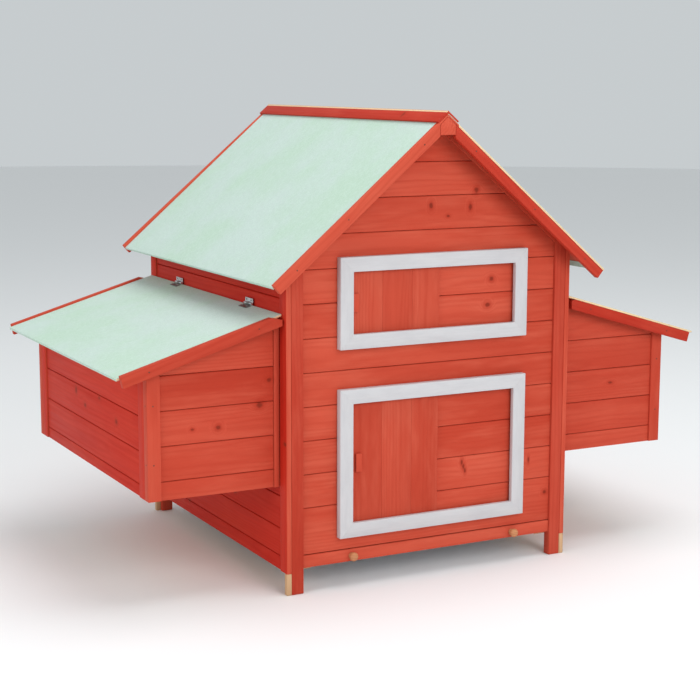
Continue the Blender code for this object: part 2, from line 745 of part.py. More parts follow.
def tray():
    front = box("tray_front", (-TRAY_HALF, TRAY_HALF), TRAY_FRONT_DEPTHS, TRAY_FRONT_Z, "red_stain")
    pan_front = TRAY_FRONT_DEPTHS[1] + GAP
    pan = box("tray_pan", (-PAN_HALF, PAN_HALF), (pan_front, PAN_REAR), PAN_Z, "zinc")
    inside = PAN_HALF - PAN_WALL
    cut_box(pan, "_inside", (-inside, inside), (pan_front + PAN_WALL, PAN_REAR - PAN_WALL),
            (PAN_Z[0] + PAN_WALL, PAN_Z[1] + OVERCUT))
    knobs = [knob("tray_left_knob", LEFT), knob("tray_right_knob", RIGHT)]
    empty = joint_empty("tray_slide", front.location.copy())
    hang_on(empty, [front, pan] + knobs)


def tray_runner(side):
    """Angle-shaped rail that carries one edge of the tray."""
    outer = HOUSE_HALF - BOARD_T - GAP
    guide = HOUSE_HALF - BOARD_T - LEG_W
    outline = [(RUNNER_INNER_X, SIDE_BOTTOM), (outer, SIDE_BOTTOM), (outer, RUNNER_GUIDE_Z),
               (guide, RUNNER_GUIDE_Z), (guide, RUNNER_FLOOR_Z), (RUNNER_INNER_X, RUNNER_FLOOR_Z)]
    name = side_name(side) + "_tray_runner"
    along_depth(name, outline, side, LEG_T + GAP, HOUSE_DEPTH - LEG_T - GAP, "bare_wood")


# ---------------------------------------------------------------- assembly

def build():
    clear_scene()
    house()
    main_roof()
    framed_panels()
    tray()
    for side in (LEFT, RIGHT):
        nest_box(side)
        lid(side)
        tray_runner(side)


build()
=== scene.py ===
"""Looks of the chicken coop: separate boards with softened edges, stained wood with grain and
knots, roofing felt over raw plywood, mitred white frames, zinc hinges, screws and nails.

Metres, in the CAD frame: +X right, +Y to the rear, +Z up. Places are worked out from the CAD
nodes' boxes and sections.
"""

import math
import random

import bmesh
import bpy
import numpy as np
from mathutils import Matrix, Vector, noise


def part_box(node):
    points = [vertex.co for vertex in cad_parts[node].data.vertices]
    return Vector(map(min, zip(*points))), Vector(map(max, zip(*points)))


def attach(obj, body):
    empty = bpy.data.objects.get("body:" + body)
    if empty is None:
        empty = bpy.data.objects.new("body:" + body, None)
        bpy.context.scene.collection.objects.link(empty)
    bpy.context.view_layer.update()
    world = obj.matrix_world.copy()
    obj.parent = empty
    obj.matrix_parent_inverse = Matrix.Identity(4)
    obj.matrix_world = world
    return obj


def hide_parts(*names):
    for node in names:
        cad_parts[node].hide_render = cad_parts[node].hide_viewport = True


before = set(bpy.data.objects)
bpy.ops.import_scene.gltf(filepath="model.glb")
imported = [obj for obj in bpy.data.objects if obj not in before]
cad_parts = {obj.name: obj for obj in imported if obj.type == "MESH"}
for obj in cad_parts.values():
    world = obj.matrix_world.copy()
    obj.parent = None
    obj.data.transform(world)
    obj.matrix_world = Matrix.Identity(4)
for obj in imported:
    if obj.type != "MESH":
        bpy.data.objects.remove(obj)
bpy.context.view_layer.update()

LEFT = -1
RIGHT = 1
X_AXIS = Vector((1, 0, 0))
Y_AXIS = Vector((0, 1, 0))
Z_AXIS = Vector((0, 0, 1))

GROOVE_DEPTH = 0.0028       # of the V grooves in the CAD walls
SIDE_RECESS = 0.003         # boards behind the stiles, side walls and nest outer walls
NEST_RECESS = 0.004         # boards behind the stiles, nest fronts and rears
SEAM = 0.0007               # dark gap between two boards
STILE_SEAM = 0.0002         # gap between the boards' ends and the stiles
HAIRLINE = 0.0001           # half the joint between two glued boards
MITRE_JOINT = 0.00006       # half the joint between two frame battens
BOARD_SINK = 0.0004         # a board stands behind its neighbours by up to this
PANEL_SEAMS = (0.37, 0.70)  # the sliding panels' joints, in shares of their width

PLY_LAYER = 0.0017
FELT_T = 0.0009
FELT_INSET = 0.0003         # felt behind the sheet's front and rear edges
FOLD_UNDER = 0.024          # how far the felt runs back under the eave
FOLD_GAP = 0.0006           # between the fold and the barge boards
EAVE_RADIUS = 0.0022        # of the felt's bend over the eave

NAIL_R = 0.0017
NAIL_HEIGHT = 0.0003
WALL_SCREW_R = 0.0022
LID_SCREW_R = 0.0024
LEAF_T = 0.0012             # hinge leaf on the wall
LID_LEAF_T = 0.0015         # hinge leaf on the lid, with the gap under it
SCREW_DROP = 0.0042         # wall leaf's screws below its upper edge
CAP_KNOT_SHARE = 0.19       # of the left ridge cap's length, from its front end

# Widths of the rounded edges
SOFT = {"leaf": 0.00025, "panel": 0.0003, "sheet": 0.0004, "board": 0.0005, "cap": 0.0006,
        "pan": 0.0007, "stile": 0.0008, "foot": 0.001, "batten": 0.0012, "frame": 0.0013,
        "leg": 0.0015, "perch": 0.002}

# For telling points and faces apart
SAME_PLACE = 0.0001         # points in one plane differ by less than this
WELD = 0.00001              # points closer than this are one point
FACING = 0.7                # a face looks along an axis if its normal has more than this of it
PAST_END = 0.01             # how far a cut reaches past a piece's end
FAR = 1.0                   # a place beyond the end of every sheet
SHARP_ANGLE = 0.35          # radians; an edge between two faces that turn more is rounded
SMOOTH_ANGLE = math.radians(32)     # two faces that turn less are shaded as one

# Ranges for shifting a piece's grain: along it, across it, and off the middle of the tree
GRAIN_SHIFTS = ((0, 60), (-0.03, 0.03), (0.03, 0.07))
rng = random.Random(7)


def side_name(side):
    return "left" if side == LEFT else "right"


# -------- shader graphs

class Graph:
    """A Principled material and short names for the nodes that feed it."""

    def __init__(self, name, roughness, metallic=0.0):
        self.material = bpy.data.materials.new(name)
        self.material.use_nodes = True
        self.tree = self.material.node_tree
        self.shader = self.tree.nodes["Principled BSDF"]
        self.shader.inputs["Roughness"].default_value = roughness
        self.shader.inputs["Metallic"].default_value = metallic

    def node(self, kind):
        return self.tree.nodes.new("ShaderNode" + kind)

    def feed(self, socket, value):
        if isinstance(value, bpy.types.NodeSocket):
            self.tree.links.new(value, socket)
        else:
            socket.default_value = value

    def math(self, operation, a, b=0.0):
        node = self.node("Math")
        node.operation = operation
        self.feed(node.inputs[0], a)
        self.feed(node.inputs[1], b)
        return node.outputs[0]

    def vector(self, operation, a, b):
        node = self.node("VectorMath")
        node.operation = operation
        self.feed(node.inputs[0], a)
        self.feed(node.inputs[1], b)
        return node.outputs["Value" if operation == "LENGTH" else "Vector"]

    def grain(self):
        """Coordinates along the grain, across it, and out of the middle of the tree."""
        node = self.node("Attribute")
        node.attribute_name = "grain"
        return node.outputs["Vector"]

    def place(self):
        return self.node("TexCoord").outputs["Object"]

    def split(self, vector):
        node = self.node("SeparateXYZ")
        self.feed(node.inputs[0], vector)
        return node.outputs[0], node.outputs[1], node.outputs[2]

    def noise(self, vector, scale, detail=2.0, roughness=0.5):
        """Noise whose scale is one number per axis, in features per metre."""
        node = self.node("TexNoise")
        node.inputs["Scale"].default_value = 1.0
        node.inputs["Detail"].default_value = detail
        node.inputs["Roughness"].default_value = roughness
        self.feed(node.inputs["Vector"], self.vector("MULTIPLY", vector, scale))
        return node.outputs[0]

    def cells(self, scale):
        """Small cells: distance from the cell's middle, and a value of each cell's own."""
        node = self.node("TexVoronoi")
        node.inputs["Scale"].default_value = scale
        self.feed(node.inputs["Vector"], self.place())
        return node.outputs["Distance"], self.split(node.outputs["Color"])[0]

    def span(self, value, low, high, out_low=0.0, out_high=1.0, smooth=True):
        """Map low to high onto out_low to out_high."""
        node = self.node("MapRange")
        node.interpolation_type = "SMOOTHSTEP" if smooth else "LINEAR"
        self.feed(node.inputs["Value"], value)
        node.inputs["From Min"].default_value = low
        node.inputs["From Max"].default_value = high
        node.inputs["To Min"].default_value = out_low
        node.inputs["To Max"].default_value = out_high
        return node.outputs[0]

    def mix(self, factor, a, b):
        """A mix of two colours, through the Mix node's colour sockets."""
        first, second, result = 6, 7, 2
        node = self.node("Mix")
        node.data_type = "RGBA"
        self.feed(node.inputs[0], factor)
        self.feed(node.inputs[first], a)
        self.feed(node.inputs[second], b)
        return node.outputs[result]

    def bump(self, height, distance, strength, under=None):
        node = self.node("Bump")
        node.inputs["Distance"].default_value = distance
        node.inputs["Strength"].default_value = strength
        self.feed(node.inputs["Height"], height)
        if under is not None:
            self.feed(node.inputs["Normal"], under)
        return node.outputs[0]

    def done(self, colour, roughness=None, normal=None):
        self.feed(self.shader.inputs["Base Color"], colour)
        if roughness is not None:
            self.feed(self.shader.inputs["Roughness"], roughness)
        if normal is not None:
            self.feed(self.shader.inputs["Normal"], normal)
        return self.material


def rgb(red, green, blue):
    return (red, green, blue, 1.0)


# -------- materials

RING_PITCH = 0.0062
RING_WANDER = 0.034
RING_SHARPNESS = 2.2
KNOT_SWELL = 0.013          # how far the rings bend out round a knot
KNOT_WOBBLE = 0.7           # unevenness of a knot's outline, in knot radii
FLAT_KNOT = 0.02            # radius square to the board of a knot placed on its face
DEEP_KNOT = 0.03            # and of a knot placed anywhere in its thickness

# Tones of the red stain, each for a thin and a thick coat. The thick coat's tone is darker and
# redder, like the stain in shade, and on the sideways walls it is painted shade
STAIN_FULL = ((0.500, 0.058, 0.028), (0.47, 0.016, 0.0075))
STAIN_LIGHT = ((0.605, 0.095, 0.051), (0.55, 0.029, 0.014))
STAIN_WORN = ((0.645, 0.130, 0.074), (0.58, 0.041, 0.020))
STAIN_LINE = ((0.445, 0.042, 0.019), (0.39, 0.012, 0.006))


def wood_pattern(graph, nearest_knot):
    """Growth rings that bend round the knots, streaks and fine fibres: three values of 0 to 1."""
    grain = graph.grain()
    _, across, deep = graph.split(grain)
    wander = graph.noise(grain, (1.6, 9.0, 9.0), 3.0, 0.55)
    radius_squared = graph.math("ADD", graph.math("MULTIPLY", across, across),
                                graph.math("MULTIPLY", deep, deep))
    radius = graph.math("SQRT", radius_squared)
    radius = graph.math("ADD", radius, graph.math("MULTIPLY", wander, RING_WANDER))
    if nearest_knot is not None:
        swell = graph.span(nearest_knot, 0.8, 3.4, KNOT_SWELL, 0.0)
        radius = graph.math("ADD", radius, swell)
    phase = graph.math("MULTIPLY", radius, 2 * math.pi / RING_PITCH)
    rings = graph.math("MULTIPLY", graph.math("SINE", phase), 0.5)
    rings = graph.math("ADD", rings, 0.5)
    rings = graph.math("POWER", rings, RING_SHARPNESS)
    streaks = graph.noise(grain, (2.2, 130.0, 130.0), 4.0, 0.6)
    fibres = graph.noise(grain, (14.0, 1500.0, 1500.0), 2.0, 0.6)
    return rings, streaks, fibres


def nearest(graph, knots):
    """Distance to the nearest knot in knot radii, or None without knots.

    A knot is (centre, radii along X, Y and Z).
    """
    place = graph.place()
    least = None
    for centre, radii in knots:
        offset = graph.vector("SUBTRACT", place, tuple(centre))
        scaled = graph.vector("MULTIPLY", offset, tuple(1.0 / r for r in radii))
        distance = graph.vector("LENGTH", scaled, (0, 0, 0))
        least = distance if least is None else graph.math("MINIMUM", least, distance)
    if least is None:
        return None
    wobble = graph.noise(place, (170.0, 170.0, 170.0), 2.0)
    wobble = graph.math("MULTIPLY", graph.math("SUBTRACT", wobble, 0.5), KNOT_WOBBLE)
    return graph.math("ADD", least, wobble)


def stain_tone(tones, coat, shade):
    """A darkened colour between the tones of a thin and a thick coat of stain."""
    return rgb(*((thin + (thick - thin) * coat) * shade for thin, thick in zip(*tones)))


def stained_wood(name, knots=(), coat=0.15, shade=1.0):
    """Semi-transparent red stain: the grain, the knots and each board's own tone show through.

    coat is 0 for a thin, light coat and 1 for a thick one, darker and redder, which on the
    sideways walls is painted shade; shade darkens every tone alike.
    """
    graph = Graph(name, 0.6)
    graph.shader.inputs["Specular IOR Level"].default_value = 0.10
    knot = nearest(graph, knots)
    rings, streaks, fibres = wood_pattern(graph, knot)
    grain = graph.grain()
    tone = graph.noise(grain, (0.9, 3.0, 3.0), 2.0, 0.5)
    cloud = graph.noise(grain, (5.0, 22.0, 22.0), 3.0, 0.6)
    stains = (STAIN_FULL, STAIN_LIGHT, STAIN_WORN, STAIN_LINE)
    full, light, worn, line = (stain_tone(tones, coat, shade) for tones in stains)
    colour = graph.mix(graph.span(tone, 0.30, 0.62), full, light)
    colour = graph.mix(graph.span(cloud, 0.38, 0.74, 0.0, 0.60), colour, worn)
    colour = graph.mix(graph.math("MULTIPLY", rings, 0.22), colour, line)
    colour = graph.mix(graph.span(streaks, 0.50, 0.82, 0.0, 0.38), colour, line)
    colour = graph.mix(graph.span(fibres, 0.45, 0.85, 0.0, 0.20), colour, line)
    if knot is not None:
        halo = graph.span(knot, 0.9, 2.4, 0.55, 0.0)
        colour = graph.mix(halo, colour, rgb(0.42, 0.034, 0.015))
        core = graph.span(knot, 0.40, 1.10, 0.80, 0.0)
        colour = graph.mix(core, colour, rgb(0.20, 0.022, 0.010))
    roughness = graph.span(streaks, 0.2, 0.8, 0.50, 0.68, smooth=False)
    relief = graph.math("ADD", graph.math("MULTIPLY", rings, 0.35),
                        graph.math("ADD", graph.math("MULTIPLY", streaks, 0.8),
                                   graph.math("MULTIPLY", fibres, 0.5)))
    return graph.done(colour, roughness, graph.bump(relief, 0.00045, 0.55))


def bare_wood(name, light, dark):
    """Unpainted softwood."""
    graph = Graph(name, 0.62)
    rings, streaks, fibres = wood_pattern(graph, None)
    tone = graph.noise(graph.grain(), (1.1, 5.0, 5.0), 2.0)
    colour = graph.mix(graph.span(tone, 0.3, 0.7, 0.0, 0.45), light, dark)
    colour = graph.mix(graph.math("MULTIPLY", rings, 0.5), colour, dark)
    colour = graph.mix(graph.span(streaks, 0.5, 0.85, 0.0, 0.4), colour, dark)
    colour = graph.mix(graph.span(fibres, 0.5, 0.9, 0.0, 0.3), colour, dark)
    relief = graph.math("ADD", streaks, graph.math("MULTIPLY", fibres, 0.6))
    return graph.done(colour, None, graph.bump(relief, 0.0004, 0.6))


def plywood(name):
    """Raw plywood: thin plies across its depth, which is the grain coordinate's Z."""
    graph = Graph(name, 0.7)
    deep = graph.split(graph.grain())[2]
    wave = graph.noise(graph.grain(), (30.0, 30.0, 0.0), 2.0)
    layer = graph.math("ADD", graph.math("MULTIPLY", deep, 1 / PLY_LAYER),
                       graph.math("MULTIPLY", wave, 0.25))
    stripe = graph.math("SINE", graph.math("MULTIPLY", layer, math.pi))
    fibres = graph.noise(graph.grain(), (60.0, 900.0, 900.0), 3.0, 0.6)
    colour = graph.mix(graph.span(stripe, -0.3, 0.3), rgb(0.78, 0.50, 0.27),
                       rgb(0.86, 0.64, 0.40))
    colour = graph.mix(graph.span(fibres, 0.45, 0.8, 0.0, 0.45), colour, rgb(0.52, 0.28, 0.13))
    return graph.done(colour, None, graph.bump(fibres, 0.0003, 0.6))


def mint_felt(name):
    """Mineral roofing felt: packed fine granules, a little mottled."""
    graph = Graph(name, 0.86)
    graph.shader.inputs["Specular IOR Level"].default_value = 0.25
    place = graph.place()
    grit, speck = graph.cells(850.0)
    mottle = graph.noise(place, (4.0, 4.0, 4.0), 5.0, 0.6)
    fine = graph.noise(place, (90.0, 90.0, 90.0), 3.0, 0.6)
    colour = graph.mix(graph.span(mottle, 0.35, 0.65), rgb(0.462, 0.612, 0.492),
                       rgb(0.520, 0.622, 0.575))
    colour = graph.mix(graph.span(fine, 0.35, 0.75, 0.0, 0.35), colour, rgb(0.58, 0.72, 0.64))
    colour = graph.mix(graph.span(speck, 0.80, 1.0, 0.0, 0.45), colour, rgb(0.34, 0.52, 0.40))
    colour = graph.mix(graph.span(speck, 0.0, 0.20, 0.40, 0.0), colour, rgb(0.70, 0.82, 0.75))
    base = graph.bump(fine, 0.0006, 0.4)
    return graph.done(colour, None, graph.bump(grit, 0.0005, 0.55, under=base))


def white_paint(name):
    """White paint over softwood: faint grain, a few thin and grey places."""
    graph = Graph(name, 0.42)
    rings, streaks, fibres = wood_pattern(graph, None)
    cloud = graph.noise(graph.grain(), (12.0, 60.0, 60.0), 4.0, 0.65)
    colour = graph.mix(graph.span(cloud, 0.30, 0.72), rgb(0.575, 0.565, 0.575),
                       rgb(0.53, 0.52, 0.535))
    colour = graph.mix(graph.span(streaks, 0.55, 0.85, 0.0, 0.35), colour, rgb(0.46, 0.45, 0.47))
    colour = graph.mix(graph.math("MULTIPLY", rings, 0.10), colour, rgb(0.47, 0.46, 0.48))
    relief = graph.math("ADD", streaks, graph.math("MULTIPLY", fibres, 0.4))
    return graph.done(colour, None, graph.bump(relief, 0.0003, 0.5))


def zinc(name, light, dark, roughness):
    """Zinc-plated steel with crystal patches and fine scratches."""
    graph = Graph(name, roughness, 1.0)
    patch = graph.cells(160.0)[1]
    scratch = graph.noise(graph.place(), (1200.0, 60.0, 1200.0), 3.0, 0.7)
    colour = graph.mix(graph.span(patch, 0.0, 1.0, 0.0, 0.6, smooth=False), light, dark)
    colour = graph.mix(graph.span(scratch, 0.6, 0.9, 0.0, 0.5), colour, dark)
    rough = graph.span(scratch, 0.3, 0.8, roughness - 0.08, roughness + 0.12, smooth=False)
    return graph.done(colour, rough, graph.bump(scratch, 0.0001, 0.4))


# The reds differ in their coat of stain and in how dark they are
BARE = bare_wood("bare_softwood", rgb(0.66, 0.42, 0.23), rgb(0.46, 0.25, 0.12))
KNOB_WOOD = bare_wood("turned_softwood", rgb(0.56, 0.235, 0.095), rgb(0.38, 0.125, 0.045))
PLY = plywood("raw_plywood")
FELT = mint_felt("mint_roofing_felt")
WHITE = white_paint("white_paint_on_wood")
ZINC = zinc("zinc_plate", rgb(0.74, 0.75, 0.77), rgb(0.46, 0.47, 0.50), 0.36)
TRAY_ZINC = zinc("galvanised_sheet", rgb(0.68, 0.70, 0.72), rgb(0.50, 0.52, 0.55), 0.40)
NAIL = zinc("nail_head", rgb(0.15, 0.08, 0.06), rgb(0.08, 0.04, 0.03), 0.55)
# Darker zinc for the lid leaves and all the screws: painted reflection and shade
ZINC_PAINTED_SHADE = zinc("zinc_plate_painted_shade", rgb(0.34, 0.37, 0.35), rgb(0.16, 0.18, 0.17), 0.48)
RED = stained_wood("red_stain_clear")
PANEL_RED = stained_wood("red_stain_panels", shade=0.95)
RED_MEDIUM = stained_wood("red_stain_medium", coat=0.4, shade=0.9)
RED_THICK = stained_wood("red_stain_thick", coat=0.7, shade=0.9)


# -------- solids

def cad_solid(node):
    """A welded copy of a CAD node's mesh."""
    bm = bmesh.new()
    bm.from_mesh(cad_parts[node].data)
    bmesh.ops.remove_doubles(bm, verts=bm.verts[:], dist=WELD)
    return bm


def trim(bm, point, outward):
    """Cut off what lies past a plane and close the cut."""
    geometry = bm.verts[:] + bm.edges[:] + bm.faces[:]
    cut = bmesh.ops.bisect_plane(bm, geom=geometry, dist=0.000001, plane_co=point,
                                 plane_no=outward, clear_outer=True)
    rim = [e for e in cut["geom_cut"] if isinstance(e, bmesh.types.BMEdge) and e.is_boundary]
    if rim:
        bmesh.ops.holes_fill(bm, edges=rim, sides=0)


def between(bm, axis, low, high):
    """The stretch of a solid from low to high along an axis, as a new solid."""
    part = bm.copy()
    trim(part, axis * high, axis)
    trim(part, axis * low, -axis)
    return part


def soften(bm, width, segments=2):
    """Merge flat faces and round the sharp edges."""
    flat = math.radians(1)
    bmesh.ops.dissolve_limit(bm, angle_limit=flat, verts=bm.verts[:], edges=bm.edges[:])
    sharp = [e for e in bm.edges
             if len(e.link_faces) == 2 and e.calc_face_angle(0) > SHARP_ANGLE]
    bmesh.ops.bevel(bm, geom=sharp, offset=width, offset_type="OFFSET", segments=segments,
                    profile=0.5, affect="EDGES", clamp_overlap=True)
    return bm


def bridge(bm, loops):
    """Faces between each closed loop of points and the next."""
    for a, b in zip(loops, loops[1:]):
        for i in range(len(a)):
            j = (i + 1) % len(a)
            bm.faces.new((a[i], a[j], b[j], b[i]))


class Assembly:
    """Solids that make one visible piece. Each keeps its own grain and material."""

    def __init__(self, name, body, slot):
        self.name = name
        self.body = body
        self.slot = slot
        self.points = []
        self.faces = []
        self.grain = []
        self.materials = []
        self.face_materials = []

    def add(self, bm, material, along, across=None, chooser=None):
        """Add a solid, with its grain along a direction.

        chooser may give a face another material. It gets the face's normal.
        """
        if not bm.verts:
            bm.free()
            return
        along = Vector(along).normalized()
        if across is None:
            across = Z_AXIS if abs(along.z) < FACING else X_AXIS
        across = (Vector(across) - along * along.dot(across)).normalized()
        deep = along.cross(across)
        base = len(self.points)
        bm.verts.index_update()
        points = np.array([v.co[:] for v in bm.verts])
        centre = (points.min(0) + points.max(0)) / 2
        shift = np.array([rng.uniform(*limits) for limits in GRAIN_SHIFTS])
        axes = np.array([along[:], across[:], deep[:]])
        self.points += [v.co[:] for v in bm.verts]
        self.grain += ((points - centre) @ axes.T + shift).tolist()
        for face in bm.faces:
            self.faces.append([base + v.index for v in face.verts])
            chosen = chooser(face.normal) if chooser else None
            self.face_materials.append(self.material_index(chosen or material))
        bm.free()

    def material_index(self, material):
        if material not in self.materials:
            self.materials.append(material)
        return self.materials.index(material)

    def finish(self, *replaced):
        """Make the object. It stands for the CAD nodes that are named."""
        mesh = bpy.data.meshes.new(self.name)
        mesh.from_pydata(self.points, [], self.faces)
        mesh.polygons.foreach_set("material_index", self.face_materials)
        for material in self.materials:
            mesh.materials.append(material)
        attribute = mesh.attributes.new("grain", "FLOAT_VECTOR", "POINT")
        attribute.data.foreach_set("vector", np.array(self.grain, np.float32).ravel())
        mesh.shade_smooth()
        mesh.set_sharp_from_angle(angle=SMOOTH_ANGLE)
        mesh.update()
        obj = bpy.data.objects.new(self.name, mesh)
        bpy.context.scene.collection.objects.link(obj)
        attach(obj, self.body)
        if replaced:
            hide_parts(*replaced)


def softened_piece(node, body, slot, material, along, softness):
    """A CAD node with rounded edges, in one material, with its grain along a direction."""
    piece = Assembly(node + "_wood", body, slot)
    piece.add(soften(cad_solid(node), SOFT[softness]), material, along)
    piece.finish(node)


def places_in_plane(node, normal_index, value, index):
    """One coordinate of each point of a CAD node that lies in a plane across another axis."""
    points = [v.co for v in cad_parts[node].data.vertices]
    return [p[index] for p in points if abs(p[normal_index] - value) < SAME_PLACE]


def groove_heights(node, normal_index, value):
    """Heights of the V grooves whose bottoms lie in a plane, one for each groove."""
    same_groove = 0.002
    heights = sorted({round(z, 5) for z in places_in_plane(node, normal_index, value, 2)})
    return [h for i, h in enumerate(heights) if i == 0 or h - heights[i - 1] > same_groove]


def boards(bm, cuts, bottom, top, inward):
    """Slice a panel into boards at the groove heights, each set back by its own amount."""
    edges = [bottom - PAST_END] + cuts + [top + PAST_END]
    parts = []
    for low, high in zip(edges, edges[1:]):
        part = between(bm, Z_AXIS, low + SEAM / 2, high - SEAM / 2)
        if part.verts:
            shift = inward * rng.uniform(0.0, BOARD_SINK)
            bmesh.ops.translate(part, verts=part.verts[:], vec=shift)
            parts.append(soften(part, SOFT["board"]))
    return parts


def section(node):
    """A sloping sheet's inner top, outer top, outer bottom and inner bottom corners.

    Each is (distance from the centre plane, height).
    """
    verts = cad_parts[node].data.vertices
    corners = dict.fromkeys((round(abs(v.co.x), 5), round(v.co.z, 5)) for v in verts)
    points = [Vector(corner) for corner in corners]
    outer_top = max(points, key=lambda p: p.x)
    inner_top = max(points, key=lambda p: p.y)
    outer_bottom = min(points, key=lambda p: p.y)
    inner_bottom = [p for p in points if p not in (inner_top, outer_top, outer_bottom)][0]
    return inner_top, outer_top, outer_bottom, inner_bottom


# -------- walls

def front_knots():
    """Knots on the front boards, as (x, z, length along the board, height)."""
    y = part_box("front_wall")[0].y
    spots = [(0.113, 0.898, 0.0065, 0.0075), (-0.007, 0.866, 0.0060, 0.0085),
             (0.038, 0.841, 0.0050, 0.0035), (0.097, 0.860, 0.0055, 0.0085),
             (0.158, 0.690, 0.0070, 0.0065), (0.148, 0.629, 0.0080, 0.0065),
             (0.084, 0.258, 0.0038, 0.0090), (0.0885, 0.248, 0.0042, 0.0085),
             (0.093, 0.238, 0.0034, 0.0080), (0.272, 0.244, 0.0028, 0.0080),
             (0.321, 0.159, 0.0060, 0.0055), (-0.270, 0.880, 0.0040, 0.0040)]
    return [(Vector((x, y, z)), (a, FLAT_KNOT, b)) for x, z, a, b in spots]


def random_knots(node, count, along_index, seed):
    """Knots scattered over a CAD node, longer along its boards."""
    draw = random.Random(seed)
    low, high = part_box(node)
    knots = []
    for _ in range(count):
        centre = Vector([draw.uniform(low[i], high[i]) for i in range(3)])
        size = draw.uniform(0.0035, 0.0075)
        radii = [size * draw.uniform(0.7, 1.1)] * 3
        radii[along_index] = size * draw.uniform(1.0, 1.8)
        thin = min(range(3), key=lambda i: high[i] - low[i])
        radii[thin] = DEEP_KNOT
        knots.append((centre, tuple(radii)))
    return knots


def gable_wall(node, facing, material):
    """Front or rear wall, cut into its tongue-and-groove boards. facing is -1 for the front."""
    low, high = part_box(node)
    outer = low.y if facing < 0 else high.y
    wall = Assembly(node + "_boards", "house", "red")
    source = cad_solid(node)
    cuts = groove_heights(node, 1, outer - facing * GROOVE_DEPTH)
    for part in boards(source, cuts, low.z, high.z, Y_AXIS * -facing):
        wall.add(part, material, X_AXIS, Z_AXIS)
    source.free()
    wall.finish(node)


def unshaded_front_faces(normal):
    """The side pieces' front faces keep the front's thin coat, without the painted shade of the
    thick coat on their sideways faces.
    """
    return RED if normal.y < -FACING else None


def framed_wall(node, axis_index, facing, recess, material):
    """A wall whose boards lie between two upright stiles, a little behind them.

    axis_index is 0 or 1 for boards along X or Y. facing is its outward sign on the other axis.
    """
    chooser = unshaded_front_faces if axis_index == 1 else None
    low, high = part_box(node)
    axis = (X_AXIS, Y_AXIS)[axis_index]
    normal_index = 1 - axis_index
    outward = (X_AXIS, Y_AXIS)[normal_index] * facing
    outer = low[normal_index] if facing < 0 else high[normal_index]
    face = outer - facing * recess
    recessed = places_in_plane(node, normal_index, face, axis_index)
    first_end, last_start = min(recessed), max(recessed)
    wall = Assembly(node + "_boards", "house", "red")
    source = cad_solid(node)
    for start, end in ((low[axis_index] - PAST_END, first_end),
                       (last_start, high[axis_index] + PAST_END)):
        stile = soften(between(source, axis, start, end), SOFT["stile"])
        wall.add(stile, material, Z_AXIS, axis, chooser)
    middle = between(source, axis, first_end + STILE_SEAM, last_start - STILE_SEAM)
    cuts = groove_heights(node, normal_index, face - facing * GROOVE_DEPTH)
    for part in boards(middle, cuts, low.z, high.z, -outward):
        wall.add(part, material, axis, Z_AXIS)
    middle.free()
    source.free()
    wall.finish(node)


def side_walls():
    """The house's left and right walls, in the thick coat's darker, redder tone, which is painted
    shade on these sideways walls.
    """
    for side in (LEFT, RIGHT):
        node = side_name(side) + "_wall"
        knots = random_knots(node, 9, along_index=1, seed=40 + side)
        # coat=1.0: the thick coat's darker, redder tone, painted shade on these shaded sideways
        # walls
        material = stained_wood("red_stain_" + node, knots, coat=1.0)
        framed_wall(node, 1, side, SIDE_RECESS, material)


def nest_knots(side, end):
    """Knots on the nest boxes' fronts; the rear panels get scattered ones."""
    node = "%s_nest_%s" % (side_name(side), end)
    if end == "rear":
        return random_knots(node, 4, along_index=0, seed=64 + side)
    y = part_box(node)[0].y
    if side == LEFT:
        spots = [(-0.5823, 0.3958, 0.0045, 0.0035), (-0.5212, 0.3943, 0.0070, 0.0060),
                 (-0.3985, 0.4905, 0.0070, 0.0060), (-0.4220, 0.4360, 0.0090, 0.0080)]
    else:
        spots = [(0.5350, 0.4060, 0.0080, 0.0035)]
    return [(Vector((x, y, z)), (a, FLAT_KNOT, b)) for x, z, a, b in spots]


def nest_boxes():
    for side in (LEFT, RIGHT):
        name = side_name(side)
        for end, facing in (("front", -1), ("rear", 1)):
            node = "%s_nest_%s" % (name, end)
            knots = nest_knots(side, end)
            material = stained_wood("red_stain_" + node, knots, coat=0.3, shade=0.96)
            framed_wall(node, 0, facing, NEST_RECESS, material)
        node = name + "_nest_outer_wall"
        # coat=0.9: the thick coat's darker, redder tone, painted shade on this sideways outer
        # wall
        material = stained_wood("red_stain_" + node, outer_wall_knots(side), coat=0.9)
        framed_wall(node, 1, side, SIDE_RECESS, material)
        softened_piece(name + "_nest_floor", "house", "bare", BARE, Y_AXIS, "stile")


def outer_wall_knots(side):
    """Knots on a nest box's outer wall; the right box gets scattered ones.

    spots holds (depth, z, radius in depth, radius in z).
    """
    node = side_name(side) + "_nest_outer_wall"
    if side == RIGHT:
        return random_knots(node, 5, along_index=1, seed=81)
    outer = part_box(node)[0].x
    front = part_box("front_left_leg")[0].y
    spots = [(0.5315, 0.408, 0.008, 0.011), (0.4651, 0.383, 0.009, 0.006),
             (0.3603, 0.4186, 0.007, 0.005), (0.2446, 0.384, 0.009, 0.007)]
    return [(Vector((outer, front + d, z)), (FLAT_KNOT, a, b)) for d, z, a, b in spots]


def rear_gable_rails():
    """The rear boards have the same slim rails under the roof as the front."""
    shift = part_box("rear_left_leg")[1].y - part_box("left_gable_rail")[1].y
    for side in (LEFT, RIGHT):
        node = side_name(side) + "_gable_rail"
        piece = Assembly("rear_%s_gable_rail_wood" % side_name(side), "house", "red")
        bm = soften(cad_solid(node), SOFT["stile"])
        bmesh.ops.translate(bm, verts=bm.verts[:], vec=(0, shift, 0))
        piece.add(bm, RED, sloping(node, side))
        piece.finish()


def sloping(node, side):
    """Direction down the slope of a barge or rail, from its box."""
    low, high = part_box(node)
    return Vector((side * (high.x - low.x), 0, low.z - high.z))


